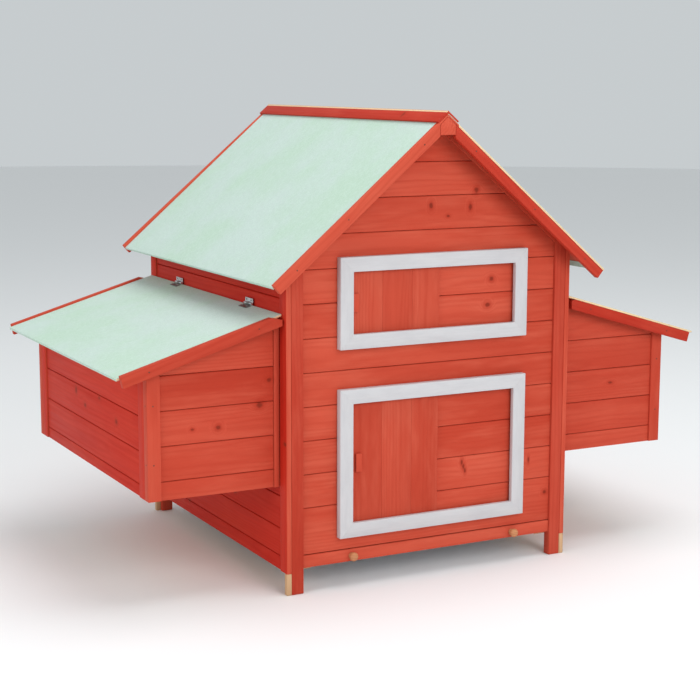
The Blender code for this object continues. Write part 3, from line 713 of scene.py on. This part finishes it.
def house_frame():
    """Legs, foot strips, rails and the perch."""
    for side in (LEFT, RIGHT):
        name = side_name(side)
        for end in ("front", "rear"):
            leg = "%s_%s_leg" % (end, name)
            softened_piece(leg, "house", "red", RED_MEDIUM, Z_AXIS, "leg")
            softened_piece("%s_%s_foot" % (end, name), "house", "bare", BARE, Z_AXIS, "foot")
        node = name + "_gable_rail"
        softened_piece(node, "house", "red", RED, sloping(node, side), "stile")
        softened_piece(name + "_tray_runner", "house", "bare", BARE, Y_AXIS, "foot")
    rear_gable_rails()
    softened_piece("perch", "house", "bare", BARE, X_AXIS, "perch")


# -------- roofs

def swept(outline, near, far, side):
    """A closed solid from an (x, z) outline on one side, swept in Y."""
    bm = bmesh.new()
    rings = [[bm.verts.new((side * p.x, y, p.y)) for p in outline] for y in (near, far)]
    bm.faces.new(rings[0])
    bm.faces.new(rings[1])
    bridge(bm, rings)
    bmesh.ops.recalc_face_normals(bm, faces=bm.faces[:])
    return bm


def felt_strip(line, near, far, side, seed, steps=48):
    """Felt laid along an (x, z) line: a thin strip that dips and ripples a little."""
    waves = 9                   # ripples per metre
    dip_share = 0.22            # of the felt's thickness
    bm = bmesh.new()
    count = len(line)
    inner = []
    for i, point in enumerate(line):
        before = line[max(i - 1, 0)]
        after = line[min(i + 1, count - 1)]
        step = (after - before).normalized()
        inner.append(point + Vector((-step.y, step.x)) * -FELT_T)
    grid = []
    for k in range(steps + 1):
        y = near + (far - near) * k / steps
        loop = []
        for i, point in enumerate(line):
            spot = Vector((point.x * waves + seed, y * waves, point.y * waves))
            dip = (inner[i] - point) * (dip_share + dip_share * noise.noise(spot))
            loop.append(bm.verts.new((side * (point.x + dip.x), y, point.y + dip.y)))
        for point in reversed(inner):
            loop.append(bm.verts.new((side * point.x, y, point.y)))
        grid.append(loop)
    bridge(bm, grid)
    size = 2 * count
    for loop in (grid[0], grid[-1]):
        for i in range(count - 1):
            bm.faces.new((loop[i], loop[i + 1], loop[size - 2 - i], loop[size - 1 - i]))
    bmesh.ops.recalc_face_normals(bm, faces=bm.faces[:])
    return bm


def spaced(start, end, count):
    """Points at equal steps from start to end, with both."""
    return [start.lerp(end, i / count) for i in range(count + 1)]


def rounded(corner, before, after, radius, steps=4):
    """Points of a small arc in place of a corner."""
    a = corner + (before - corner).normalized() * radius
    b = corner + (after - corner).normalized() * radius
    shares = [i / steps for i in range(steps + 1)]
    return [a * (1 - t) ** 2 + corner * 2 * t * (1 - t) + b * t ** 2 for t in shares]


def inset_section(corners, top, outer, bottom):
    """Move a sloping section's top, outer and bottom sides inward."""
    inner_top, outer_top, outer_bottom, inner_bottom = corners
    down = (outer_bottom - outer_top).normalized()
    back = (inner_top - outer_top).normalized()
    return [inner_top + down * top, outer_top + down * top + back * outer,
            outer_bottom - down * bottom + back * outer, inner_bottom - down * bottom]


def felted_roof(side, prefix, body):
    """Plywood, and the felt that covers it and folds under. prefix is roof or lid."""
    sheet = "%s_%s_sheet" % (side_name(side), prefix)
    low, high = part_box(sheet)
    corners = section(sheet)
    inner_top, outer_top, outer_bottom, _ = corners
    back = (inner_top - outer_top).normalized()
    down = (outer_bottom - outer_top).normalized()
    slope = Vector((side * -back.x, 0, -back.y))
    core = Assembly(sheet + "_plywood", body, "bare")
    solid = swept(inset_section(corners, FELT_T, FELT_T, 0.0), low.y, high.y, side)
    soften(solid, SOFT["sheet"])
    stained = side * stained_reach(side, prefix)
    for start, end, edge in ((-side * FAR, stained, RED), (stained, side * FAR, PLY)):
        part = between(solid, X_AXIS, *sorted((start, end)))
        core.add(part, PLY, slope, Y_AXIS, sheet_faces(prefix, edge))
    solid.free()
    core.finish(sheet)

    felt = Assembly(sheet + "_felt", body, "felt")
    bend_start = 0.004
    start = inner_top + (outer_top - inner_top) * 0.0015
    line = spaced(start, outer_top + back * bend_start, 40)[:-1]
    line += rounded(outer_top, inner_top, outer_bottom, EAVE_RADIUS) + [outer_bottom]
    cover = felt_strip(line, low.y + FELT_INSET, high.y - FELT_INSET, side, seed=3.0)
    felt.add(cover, FELT, slope, Y_AXIS)
    under = spaced(outer_bottom + back * FOLD_UNDER + down * FELT_T,
                   outer_bottom + down * FELT_T, 6)
    barge_low, barge_high = barge_ends(side, prefix)
    near = max(low.y, barge_low) + FOLD_GAP
    far = min(high.y, barge_high) - FOLD_GAP
    fold = felt_strip(list(reversed(under)), near, far, side, seed=8.0, steps=24)
    felt.add(fold, FELT, slope, Y_AXIS)
    felt.finish()


def sheet_faces(prefix, edge):
    """Chooser for a sheet: edge is its front edge's, and the house roof is red below."""
    def chosen(normal):
        if normal.y < -FACING:
            return edge
        return RED if prefix == "roof" and normal.z < -0.5 else None
    return chosen


def stained_reach(side, prefix):
    """How far from the centre plane the sheet's front edge is stained: under the ridge cap."""
    if prefix == "lid":
        return 0.0
    low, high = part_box(side_name(side) + "_ridge_cap")
    return max(-low.x, high.x)


def barge_ends(side, prefix):
    """Y of the inner faces of a roof's or lid's two barge boards."""
    start = side_name(side) + ("_" if prefix == "roof" else "_lid_")
    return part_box(start + "front_barge")[1].y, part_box(start + "rear_barge")[0].y


def raw_cut(normal):
    """The cut-off upper corner at the house end of a left lid board has no stain."""
    return BARE if 0.1 < normal.x < 0.6 and normal.z > FACING else None


def barge(node, body, side):
    """A barge board. Its outer face is set back by the height of the nail heads on it."""
    low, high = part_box(node)
    bm = cad_solid(node)
    outer, inward = (low.y, 1) if low.y < 0 else (high.y, -1)
    for vert in bm.verts:
        if abs(vert.co.y - outer) < SAME_PLACE:
            vert.co.y += inward * NAIL_HEIGHT
    material = RED if side == LEFT else RED_THICK
    if body == "left_lid":
        material = RED_MEDIUM
    raw_corner = raw_cut if node == "left_lid_rear_barge" else None
    piece = Assembly(node + "_wood", body, "red")
    piece.add(soften(bm, SOFT["batten"]), material, sloping(node, side), None, raw_corner)
    piece.finish(node)


def ridge_cap(side):
    """A ridge cap. Its rear end and its upper edge, where the two caps meet, are left raw."""
    cap = side_name(side) + "_ridge_cap"
    material = RED_THICK
    if side == LEFT:
        low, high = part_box(cap)
        spot = Vector((low.x * 0.5, low.y + (high.y - low.y) * CAP_KNOT_SHARE, high.z))
        knot = (spot, (0.009, 0.006, DEEP_KNOT))
        material = stained_wood("red_stain_" + cap, [knot], coat=0.7, shade=0.9)
    piece = Assembly(cap + "_wood", "house", "red")
    lap = X_AXIS * -side
    upper_edge = 0.55           # the edge's normal has more than this of the lap's direction

    def raw_edge(normal):
        return PLY if normal.y > FACING or normal.dot(lap) > upper_edge else None

    piece.add(soften(cad_solid(cap), SOFT["cap"]), material, Y_AXIS, X_AXIS, raw_edge)
    piece.finish(cap)


def roof_timber():
    """Barge boards, ridge caps and ridge beam."""
    for side in (LEFT, RIGHT):
        name = side_name(side)
        for end in ("front", "rear"):
            barge("%s_%s_barge" % (name, end), "house", side)
            barge("%s_lid_%s_barge" % (name, end), name + "_lid", side)
        ridge_cap(side)
    softened_piece("ridge_beam", "house", "red", RED, Y_AXIS, "batten")


# -------- frames and sliding panels

def mitred_frame(node):
    """Four battens with 45 degree corners, cut from the frame's solid."""
    low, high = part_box(node)
    centre = (low + high) / 2
    half = (high - low) / 2
    piece = Assembly(node + "_battens", "house", "white")
    source = soften(cad_solid(node), SOFT["frame"])
    for across, up in ((0, 1), (0, -1), (-1, 0), (1, 0)):
        part = source.copy()
        for end in (-1, 1):
            corner_x, corner_z = (across, end) if across else (end, up)
            corner = centre + Vector((corner_x * half.x, 0, corner_z * half.z))
            outward = Vector((-across, 0, end) if across else (end, 0, -up)).normalized()
            trim(part, corner - outward * MITRE_JOINT, outward)
        trim(part, centre, Vector((-across, 0, -up)))
        piece.add(part, WHITE, Z_AXIS if across else X_AXIS, Y_AXIS)
    source.free()
    piece.finish(node)


def sliding_panel(node):
    """Upright boards glued edge to edge with hairline joints, and their finger pull."""
    low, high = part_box(node)
    piece = Assembly(node + "_boards", node, "red")
    source = cad_solid(node)
    cuts = [low.x + (high.x - low.x) * share for share in PANEL_SEAMS]
    edges = [low.x - PAST_END] + cuts + [high.x + PAST_END]
    for left, right in zip(edges, edges[1:]):
        part = between(source, X_AXIS, left + HAIRLINE, right - HAIRLINE)
        piece.add(soften(part, SOFT["panel"]), PANEL_RED, Z_AXIS, X_AXIS)
    source.free()
    piece.finish(node)
    softened_piece(node + "_pull", node, "red", RED, Z_AXIS, "batten")


# -------- tray

def turned_knob(side):
    """Turned knob: foot, neck and domed head, spun from a profile in shares of its box."""
    node = "tray_%s_knob" % side_name(side)
    low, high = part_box(node)
    radius = (high.x - low.x) / 2
    length = high.y - low.y
    centre = Vector(((low.x + high.x) / 2, high.y, (low.z + high.z) / 2))
    profile = [(0.0, 0.0), (0.70, 0.0), (0.72, 0.03), (0.66, 0.10), (0.58, 0.18), (0.585, 0.26),
               (0.70, 0.34)]
    head_centre, head_steps = 0.62, 9
    for i in range(head_steps + 1):
        angle = math.radians(-35 + 125 * i / head_steps)
        lift = head_centre + (1 - head_centre) * math.sin(angle)
        profile.append((0.995 * math.cos(angle) ** 0.8, lift))
    profile[-1] = (0.0, 1.0)
    bm = bmesh.new()
    verts = [bm.verts.new(centre + Vector((r * radius, -out * length, 0))) for r, out in profile]
    edges = [bm.edges.new(pair) for pair in zip(verts, verts[1:])]
    bmesh.ops.spin(bm, geom=verts + edges, cent=centre, axis=(0, 1, 0), angle=2 * math.pi,
                   steps=40, use_merge=False)
    bmesh.ops.remove_doubles(bm, verts=bm.verts[:], dist=WELD)
    bmesh.ops.recalc_face_normals(bm, faces=bm.faces[:])
    piece = Assembly(node + "_turned", "tray", "bare")
    piece.add(bm, KNOB_WOOD, Y_AXIS, X_AXIS)
    piece.finish(node)


def tray():
    softened_piece("tray_front", "tray", "red", RED, X_AXIS, "leg")
    pan = Assembly("tray_pan_sheet", "tray", "zinc")
    pan.add(soften(cad_solid("tray_pan"), SOFT["pan"]), TRAY_ZINC, Y_AXIS)
    pan.finish("tray_pan")
    for side in (LEFT, RIGHT):
        turned_knob(side)


# -------- hardware

def metal_head(bm, centre, normal, radius, height, profile, sides, recess=None):
    """A nail or screw head on a face.

    profile has pairs of shares, of the radius and of the height. recess may lower a point: it
    gets both shares and the angle round the head.
    """
    turn = Vector(normal).normalized().to_track_quat("Z", "Y").to_matrix().to_4x4()
    rings = []
    for share, lift in profile:
        loop = []
        for i in range(sides):
            angle = 2 * math.pi * i / sides
            sunk = recess(share, lift, angle) if recess else 0.0
            local = Vector((radius * share * math.cos(angle), radius * share * math.sin(angle),
                            height * (lift - sunk)))
            loop.append(bm.verts.new(Vector(centre) + turn @ local))
        rings.append(loop)
    bridge(bm, rings)
    bm.faces.new(rings[-1])
    bm.faces.new(list(reversed(rings[0])))


def nails(name, body, places):
    """Small domed nail heads. A place is (point on the face, outward normal)."""
    profile = ((1.0, -0.5), (1.0, 0.35), (0.82, 0.8), (0.45, 1.0))
    bm = bmesh.new()
    for centre, normal in places:
        metal_head(bm, centre, normal, NAIL_R, NAIL_HEIGHT, profile, 14)
    bmesh.ops.recalc_face_normals(bm, faces=bm.faces[:])
    piece = Assembly(name, body, "zinc")
    piece.add(bm, NAIL, Z_AXIS)
    piece.finish()


def cross_recess(share, lift, angle):
    """Depth of a screw's cross: deep along its two bars, in the middle of the head."""
    bars = max(abs(math.cos(angle)), abs(math.sin(angle))) ** 24
    return 0.85 * bars if share < 0.7 and lift > 0 else 0.0


def cross_screw(bm, centre, normal, radius):
    """Pan-head screw with a cross recess pressed into its dome."""
    profile = ((1.0, -0.3), (1.0, 0.25), (0.88, 0.62), (0.62, 0.88), (0.34, 0.98), (0.12, 1.0))
    metal_head(bm, centre, normal, radius, radius * 0.55, profile, 24, cross_recess)


def hinge_leaf(node, body, material, screws):
    """A leaf with softened edges and its screws."""
    bmesh.ops.recalc_face_normals(screws, faces=screws.faces[:])
    piece = Assembly(node + "_plate", body, "zinc")
    piece.add(soften(cad_solid(node), SOFT["leaf"], 1), material, Y_AXIS)
    # the screws get the darker zinc of painted shade
    piece.add(screws, ZINC_PAINTED_SHADE, Y_AXIS)
    piece.finish(node)


def screw_places(low, high):
    """Y of a leaf's two screws."""
    return [low.y + (high.y - low.y) * share for share in (0.2, 0.8)]


def wall_leaf(node, side):
    """A leaf on the house wall, with two screws that stand out of it sideways."""
    low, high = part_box(node)
    wall_x = low.x if side == RIGHT else high.x
    screws = bmesh.new()
    for y in screw_places(low, high):
        spot = Vector((wall_x + side * LEAF_T, y, high.z - SCREW_DROP))
        cross_screw(screws, spot, X_AXIS * side, WALL_SCREW_R)
    hinge_leaf(node, "house", ZINC, screws)


def lid_leaf(node, side):
    """A leaf on the lid, with two screws square to its slope, a little past its middle."""
    inner_top, outer_top, _, _ = section(side_name(side) + "_lid_sheet")
    slope = (outer_top - inner_top).normalized()
    normal = Vector((side * -slope.y, 0, slope.x))
    low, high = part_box(node)
    near, far = sorted((abs(low.x), abs(high.x)))
    x = 0.45 * near + 0.55 * far
    rise = inner_top.y + (x - inner_top.x) * slope.y / slope.x
    screws = bmesh.new()
    for y in screw_places(low, high):
        spot = Vector((side * x, y, rise)) + normal * LID_LEAF_T
        cross_screw(screws, spot, normal, LID_SCREW_R)
    # the lid leaf gets the darker zinc of painted reflection and shade
    hinge_leaf(node, side_name(side) + "_lid", ZINC_PAINTED_SHADE, screws)


def hinges():
    """Two butt hinges on each lid, each of a wall leaf and a lid leaf."""
    for side in (LEFT, RIGHT):
        for end in ("front", "rear"):
            hinge = "%s_%s_hinge" % (side_name(side), end)
            wall_leaf(hinge + "_wall_leaf", side)
            lid_leaf(hinge + "_lid_leaf", side)


def barge_nails(node, shares, front):
    """Places along the middle line of a barge board, at shares of its width."""
    low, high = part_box(node)
    y = low.y if front else high.y
    normal = -Y_AXIS if front else Y_AXIS
    places = []
    for share in shares:
        x = low.x + (high.x - low.x) * share
        point = Vector((x, y, middle_height(node, x))) - normal * NAIL_HEIGHT
        places.append((point, normal))
    return places


def middle_height(node, x):
    """Height half way between a board's long edges at x, from its corner points."""
    long_edge = 0.1
    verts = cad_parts[node].data.vertices
    outline = sorted({(round(v.co.x, 5), round(v.co.z, 5)) for v in verts})
    heights = []
    for i, (xa, za) in enumerate(outline):
        for xb, zb in outline[i + 1:]:
            if xa < x < xb and xb - xa > long_edge:
                heights.append(za + (zb - za) * (x - xa) / (xb - xa))
    return (min(heights) + max(heights)) / 2


def post_nails(side):
    """Two nails in each face of the nest box's front corner post."""
    heights = (0.456, 0.326)
    side_inset = 0.011          # from the front face, on the outer side
    front_inset = 0.0135        # from the outer side, on the front face
    low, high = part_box(side_name(side) + "_nest_front")
    outer = side * max(abs(low.x), abs(high.x))
    places = []
    for z in heights:
        places.append((Vector((outer, low.y + side_inset, z)), X_AXIS * side))
        places.append((Vector((outer - side * front_inset, low.y, z)), -Y_AXIS))
    return places


def all_nails():
    """Nails in the barge boards and corner posts, one piece for each body."""
    house = []
    for end, front in (("front", True), ("rear", False)):
        house += barge_nails("left_%s_barge" % end, (0.13, 0.42, 0.86), front)
        house += barge_nails("right_%s_barge" % end, (0.13, 0.52, 0.87), front)
    house += post_nails(LEFT) + post_nails(RIGHT)
    nails("house_nails", "house", house)
    for side, shares in ((LEFT, (0.17, 0.85)), (RIGHT, (0.155, 0.80))):
        lid = side_name(side) + "_lid"
        places = barge_nails(lid + "_front_barge", shares, True)
        places += barge_nails(lid + "_rear_barge", shares, False)
        nails(lid + "_nails", lid, places)


# -------- stage, light and camera

FLOOR_RADIUS = 18.0
FLOOR_DROP = 0.0005         # the floor lies this far under the feet
WORLD_STRENGTH = 0.62
# name, position, what it looks at, diameter, power in watts
LIGHTS = (("key", (0.3, -5.0, 2.8), (0.0, 0.0, 0.5), 3.0, 104.0),
          ("fill", (-4.8, -1.0, 2.0), (0.0, 0.0, 0.4), 3.0, 56.0),
          ("top", (0.6, -0.6, 5.0), (0.0, 0.0, 0.6), 3.4, 112.0))
CAMERA_PLACE = (-1.8650, -3.5934, 1.1473)
CAMERA_TARGET = (-0.0394, -0.1255, 0.5017)
CAMERA_ROLL = 0.0036
CAMERA_SHIFT = (-0.0112, -0.0056)
CAMERA_LENS = 83.10         # millimetres, on a sensor 36 mm wide


def stage():
    """Pale floor, large soft lights and a pale surround."""
    bm = bmesh.new()
    bmesh.ops.create_circle(bm, cap_ends=True, segments=96, radius=FLOOR_RADIUS)
    mesh = bpy.data.meshes.new("studio_floor")
    bm.to_mesh(mesh)
    bm.free()
    floor = bpy.data.objects.new("studio_floor", mesh)
    floor.location.z = -FLOOR_DROP
    graph = Graph("studio_floor_paint", 0.8)
    mesh.materials.append(graph.done(rgb(0.87, 0.87, 0.87)))
    bpy.context.scene.collection.objects.link(floor)

    world = bpy.data.worlds.new("studio")
    world.use_nodes = True
    background = world.node_tree.nodes["Background"]
    background.inputs["Color"].default_value = rgb(0.92, 0.975, 1.0)
    background.inputs["Strength"].default_value = WORLD_STRENGTH
    bpy.context.scene.world = world
    for light in LIGHTS:
        soft_light(*light)


def soft_light(name, position, target, size, power):
    light = bpy.data.lights.new(name, "AREA")
    light.shape = "DISK"
    light.size = size
    light.energy = power
    obj = bpy.data.objects.new(name, light)
    obj.location = position
    direction = Vector(target) - Vector(position)
    obj.rotation_euler = direction.to_track_quat("-Z", "Y").to_euler()
    bpy.context.scene.collection.objects.link(obj)


def camera():
    """A view from the front left and a little above."""
    data = bpy.data.cameras.new("camera")
    data.sensor_width = 36.0
    data.lens = CAMERA_LENS
    data.shift_x, data.shift_y = CAMERA_SHIFT
    obj = bpy.data.objects.new("camera", data)
    obj.location = CAMERA_PLACE
    direction = Vector(CAMERA_TARGET) - obj.location
    look = direction.to_track_quat("-Z", "Y").to_matrix().to_4x4()
    roll = Matrix.Rotation(CAMERA_ROLL, 4, "Z")
    obj.rotation_euler = (look @ roll).to_euler()
    bpy.context.scene.collection.objects.link(obj)
    bpy.context.scene.camera = obj


# -------- assembly

def build():
    bpy.context.scene.view_settings.view_transform = "Standard"
    stage()
    camera()
    gable_wall("front_wall", -1, stained_wood("red_stain_front_wall", front_knots()))
    rear_knots = random_knots("rear_wall", 10, along_index=0, seed=11)
    gable_wall("rear_wall", 1, stained_wood("red_stain_rear_wall", rear_knots))
    side_walls()
    nest_boxes()
    house_frame()
    roof_timber()
    for side in (LEFT, RIGHT):
        felted_roof(side, "roof", "house")
        felted_roof(side, "lid", side_name(side) + "_lid")
    mitred_frame("upper_white_frame")
    mitred_frame("lower_white_frame")
    sliding_panel("upper_shutter")
    sliding_panel("lower_door")
    tray()
    hinges()
    all_nails()


build()
